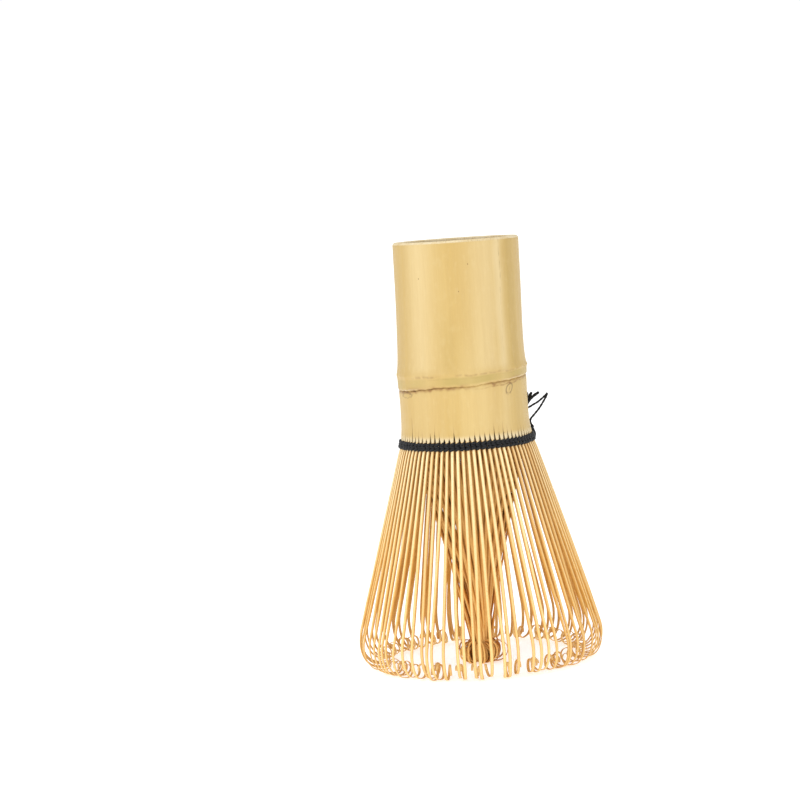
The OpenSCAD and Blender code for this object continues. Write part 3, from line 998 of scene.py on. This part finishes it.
def rounded_route(points, step=0.12):
    """A smooth curve through points, evenly spaced."""
    points = np.array(points, float)
    gaps = np.linalg.norm(np.diff(points, axis=0), axis=1) ** 0.5
    knots = np.concatenate([[0], np.cumsum(gaps)])
    tangents = np.gradient(points, knots, axis=0)
    t = np.linspace(0, knots[-1], 400)
    i = np.clip(np.searchsorted(knots, t) - 1, 0, len(points) - 2)
    w = (knots[i + 1] - knots[i])[:, None]
    u = (t - knots[i])[:, None] / w
    curve = (
        (2 * u**3 - 3 * u**2 + 1) * points[i] + (u**3 - 2 * u**2 + u) * w * tangents[i]
        + (3 * u**2 - 2 * u**3) * points[i + 1] + (u**3 - u**2) * w * tangents[i + 1])
    length = np.concatenate([[0], np.cumsum(np.linalg.norm(np.diff(curve, axis=0), axis=1))])
    even = np.linspace(0, length[-1], max(8, round(length[-1] / step)))
    return np.stack([np.interp(even, length, curve[:, axis]) for axis in range(3)], axis=1)


def knot_path(centre, size, tilt):
    """A trefoil knot that lies against the culm at centre."""
    t = np.linspace(0, TURN, 90, endpoint=False)
    x = np.sin(t) + 2 * np.sin(2 * t)
    y = np.cos(t) - 2 * np.cos(2 * t)
    depth = -np.sin(3 * t)
    azimuth = math.atan2(centre[1], centre[0])
    out, side = around(azimuth, 1, 0), around(azimuth + math.pi / 2, 1, 0)
    side, up = math.cos(tilt) * side + math.sin(tilt) * UP, math.cos(tilt) * UP - math.sin(tilt) * side
    flat = size / 3 * (x[:, None] * side + y[:, None] * up)
    return np.array(centre) + flat + 0.45 * size * depth[:, None] * out


def add_closed_strand(solids, path, radius):
    """A thread that closes on itself, facing away from its middle."""
    along = unit(np.roll(path, -1, axis=0) - np.roll(path, 1, axis=0))
    away = path - path.mean(axis=0)
    out = unit(away - along * np.einsum("ij,ij->i", away, along)[:, None])
    phi = np.arange(10) / 10 * TURN
    section = np.stack([radius * np.cos(phi), radius * np.sin(phi)], axis=-1)
    solids.add(swept(path, out, np.cross(along, out), section), closed_i=True)


def build_knots():
    """The knot on the binding with its two coils round the rows, and the second knot behind it."""
    solids = Solids()
    add_closed_strand(solids, knot_path((16.62, 3.3, 57.25), 0.62, 0.5), 0.24)
    add_closed_strand(solids, knot_path((15.5, 7.2, 62.3), 0.62, 1.3), 0.24)
    t = np.linspace(0, TURN, 60, endpoint=False)
    for azimuth_deg, tall, phase in ((6.5, 1.3, 0.0), (9.2, 1.45, 1.2)):
        azimuth = math.radians(azimuth_deg) + 0.018 * np.sin(t + phase)
        add_closed_strand(solids, around(azimuth, 16.35 + 0.95 * np.cos(t), 56.0 + tall * np.sin(t)), 0.25)
    piece = solids.piece("thread_knot_coils", [THREAD], sharp_deg=80)
    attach(piece, "culm")
    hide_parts("thread_knots")


LOOP_ROUTE = [
    (16.75, 3.6, 57.9), (16.4, 4.2, 58.45), (16.4, 4.6, 59.2), (16.7, 4.55, 59.75), (17.15, 4.5, 60.2),
    (17.9, 4.45, 61), (18.7, 4.4, 61.9), (19.2, 4.4, 62.55), (19.65, 4.4, 63.2), (20.15, 4.4, 63.95),
    (20.6, 4.4, 64.65), (20.9, 4.45, 65.2), (21, 4.65, 65.5), (21, 4.9, 65.6), (20.9, 5.1, 65.45),
    (20.55, 5.2, 65.1), (19.9, 5.2, 64.55), (19.05, 5.2, 63.9), (18.3, 5.3, 63.4), (17.5, 5.5, 63),
    (16.6, 6, 62.45), (15.95, 6.6, 62.1)]
END_ROUTES = [
    [(15.6, 6.9, 62.6), (15.95, 6.35, 63.25), (16.6, 6.3, 64.15), (17.55, 6.2, 65), (18.3, 6.1, 65.5),
     (19.05, 6, 65.95)],
    [(15.6, 7.1, 62.8), (15.75, 6.95, 63.6), (16.15, 6.92, 64.2), (16.55, 6.85, 64.8), (17.25, 6.7, 66)],
    [(15.5, 7.3, 62.7), (15.4, 7.5, 63.5), (15.8, 7.55, 64.4), (16, 7.5, 65.2), (16, 7.4, 66.1)]]


def build_thread_ends():
    solids = Solids()
    add_strand(solids, rounded_route(LOOP_ROUTE), 0.26)
    for route in END_ROUTES:
        add_strand(solids, rounded_route(route), 0.38, taper=0.2)
    piece = solids.piece("thread_loose_ends", [THREAD], sharp_deg=80)
    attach(piece, "culm")
    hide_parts("thread_ends")


# ---- Stage ----

def build_floor():
    """A plain pale floor, which glows a little so that it stays white under the soft light."""
    shader = Shader(
        "floor", Roughness=0.9, Specular_IOR_Level=0.0, Emission_Color=(1, 1, 1, 1),
        Emission_Strength=0.5)
    shade = shader.between(shader.noise(60.0, 60.0), 0.2, 0.8)
    shader.set("Base Color", shader.mix(shade, (0.79, 0.79, 0.79), (0.81, 0.81, 0.81)))
    half = 6.0
    corners = [(-half, -half, 0), (half, -half, 0), (half, half, 0), (-half, half, 0)]
    mesh = bpy.data.meshes.new("floor")
    mesh.from_pydata(corners, [], [(0, 1, 2, 3)])
    mesh.materials.append(shader.material)
    floor = bpy.data.objects.new("floor", mesh)
    bpy.context.scene.collection.objects.link(floor)


def turned(right, up, back, place):
    """The matrix of an object at this place, with these directions as its own X, Y and Z."""
    matrix = Matrix([(*right,), (*up,), (*back,)]).transposed().to_4x4()
    matrix.translation = place
    return matrix


def add_light(name, place, aim, size, power, colour):
    """A soft round light. Its place, aim and size are in metres, and its power in watts."""
    data = bpy.data.lights.new(name, "AREA")
    data.shape = "DISK"
    data.size = size
    data.energy = power
    data.color = colour
    light = bpy.data.objects.new(name, data)
    bpy.context.scene.collection.objects.link(light)
    back = unit(np.array(place) - np.array(aim))
    right = unit(np.cross(UP, back))
    light.matrix_world = turned(right, np.cross(back, right), back, place)


def build_light():
    """An even white studio, with a key light from the upper left and a weak fill from the front."""
    scene = bpy.context.scene
    scene.view_settings.view_transform = "Standard"
    world = bpy.data.worlds.new("studio")
    scene.world = world
    world.use_nodes = True
    background = world.node_tree.nodes["Background"]
    background.inputs["Color"].default_value = (1, 1, 1, 1)
    background.inputs["Strength"].default_value = 1.02
    add_light("key", (-0.42, -0.5, 0.5), (0, 0, 0.06), size=0.3, power=1.5, colour=(1, 0.99, 0.97))
    add_light("fill", (0.12, -0.62, 0.16), (0, 0, 0.04), size=0.25, power=0.5, colour=(1, 1, 1))


def build_camera():
    """The photo's view: from the front, a little above, and tilted a little about the line of sight."""
    data = bpy.data.cameras.new("camera")
    data.sensor_width = 36.0
    data.lens = 111.07
    data.clip_start = 0.01
    data.clip_end = 20
    camera = bpy.data.objects.new("camera", data)
    bpy.context.scene.collection.objects.link(camera)
    yaw, pitch, roll = (math.radians(degrees) for degrees in (-1.041, -5.085, -3.911))
    level = math.cos(pitch)
    ahead = np.array([math.sin(yaw) * level, math.cos(yaw) * level, math.sin(pitch)])
    right = np.array([math.cos(yaw), -math.sin(yaw), 0])
    up = np.cross(right, ahead)
    right, up = (
        math.cos(roll) * right + math.sin(roll) * up, math.cos(roll) * up - math.sin(roll) * right)
    camera.matrix_world = turned(right, up, -ahead, np.array([-5.10, -614.5, 121.5]) * MM)
    bpy.context.scene.camera = camera


build_camera()
build_light()
build_floor()
build_handle()
build_joint()
build_collar()
build_septum()
build_outer_tines()
build_inner_tines()
build_twine()
build_knots()
build_thread_ends()
